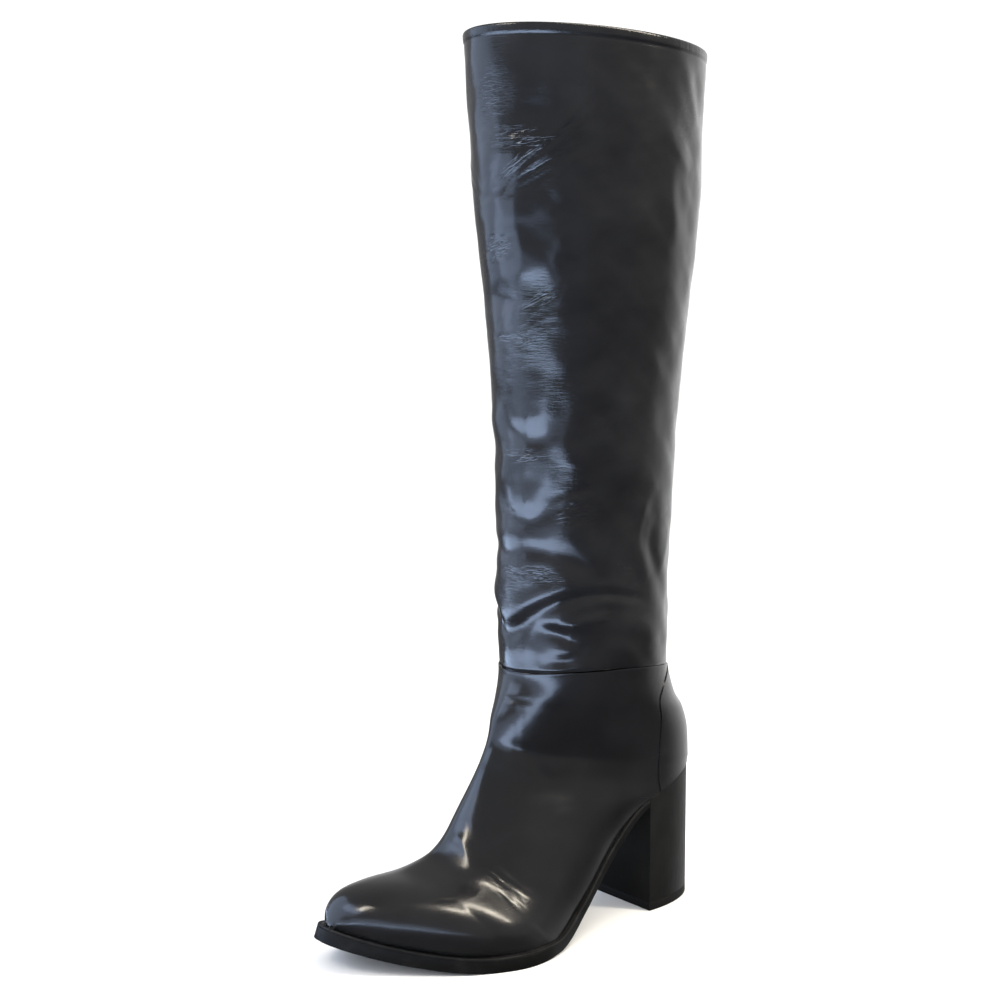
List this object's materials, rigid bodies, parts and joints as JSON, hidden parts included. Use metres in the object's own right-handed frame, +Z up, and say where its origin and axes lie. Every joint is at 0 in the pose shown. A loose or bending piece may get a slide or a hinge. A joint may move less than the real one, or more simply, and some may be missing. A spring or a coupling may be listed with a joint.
{
  "type": "knee-high boot",
  "caption": "Left knee-high pull-on boot in smooth black leather, with a shaft, closed foot, counter, welted sole and straight block heel.",
  "frame": {"origin": "on the floor, under the middle of the whole boot's box", "axes": "+Z up along the leg, -Y towards the toe, +X towards the outer side of the foot"},
  "size_m": [0.1096, 0.2458, 0.496],
  "materials": {
    "upper_leather": "smooth polished black leather with a soft gloss, fine grain, slack creases and light wrinkles",
    "lining_leather": "matt dark brown-black lining leather",
    "sole": "satin black sole edge, waxed, with fine wheel marks on the welt",
    "heel_block": "satin black lacquered heel block",
    "top_piece": "matt black rubber"
  },
  "bodies": {
    "root": {"shaft": "upper_leather", "upper": "upper_leather", "heel_counter": "upper_leather", "insole": "lining_leather", "welt": "sole", "outsole": "sole", "heel": "heel_block", "heel_top_piece": "top_piece"}
  },
  "joints": []
}
